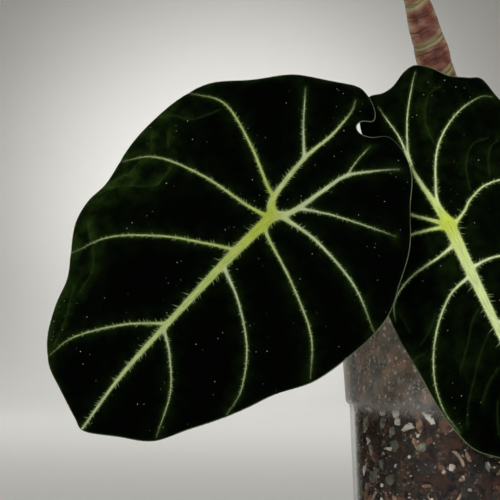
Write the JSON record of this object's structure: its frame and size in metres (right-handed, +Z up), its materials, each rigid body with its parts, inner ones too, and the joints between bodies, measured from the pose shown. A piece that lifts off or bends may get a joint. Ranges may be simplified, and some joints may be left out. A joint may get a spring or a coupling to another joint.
{
  "type": "potted alocasia",
  "caption": "Potted alocasia: broad black velvet leaves with pale veins on slim petioles and a ringed leaning stem, in a clear plastic nursery pot of chunky mix.",
  "frame": {"origin": "centre of the pot's flat base, on the surface it stands on", "axes": "+Z up, -Y towards the plant's best side, where the faces of the two large leaves look; +X to the right seen from there"},
  "size_m": [0.2042, 0.1191, 0.2815],
  "materials": {
    "leaf_blade": "near-black velvet with pale green veins, pale green underside",
    "petiole": "smooth fleshy green with a brown flush at the foot",
    "stem": "pink-brown skin ringed by old leaf scars, satin",
    "clear_plastic": "clear moulded plastic, fogged in the collar",
    "mix": "damp dark brown chunky mix",
    "perlite": "matte off-white, rough",
    "pumice": "matte grey-green, pitted",
    "bark": "red-brown, fibrous",
    "charcoal": "black, slightly glossy on broken faces",
    "root": "tan, smooth"
  },
  "bodies": {
    "root": {"bark_top_1": "bark", "bark_top_2": "bark", "bark_top_3": "bark", "bark_top_4": "bark", "bark_top_5": "bark", "bark_top_6": "bark", "bark_wall_1": "bark", "bark_wall_2": "bark", "bark_wall_3": "bark", "charcoal_top_1": "charcoal", "charcoal_top_2": "charcoal", "leaf_broad": "leaf_blade", "leaf_turned": "leaf_blade", "leaf_upper_left": "leaf_blade", "leaf_upper_right": "leaf_blade", "mix": "mix", "new_leaf_spear": "petiole", "perlite_top_1": "perlite", "perlite_top_2": "perlite", "perlite_top_3": "perlite", "perlite_wall_1": "perlite", "perlite_wall_2": "perlite", "perlite_wall_3": "perlite", "perlite_wall_4": "perlite", "perlite_wall_5": "perlite", "perlite_wall_6": "perlite", "perlite_wall_7": "perlite", "petiole_broad": "petiole", "petiole_turned": "petiole", "petiole_upper_left": "petiole", "petiole_upper_right": "petiole", "pot": "clear_plastic", "pumice_top_1": "pumice", "pumice_top_2": "pumice", "pumice_top_3": "pumice", "pumice_wall_1": "pumice", "pumice_wall_2": "pumice", "pumice_wall_3": "pumice", "pumice_wall_4": "pumice", "root_back": "root", "root_long": "root", "root_short": "root", "root_side": "root", "stem": "stem"}
  },
  "joints": []
}
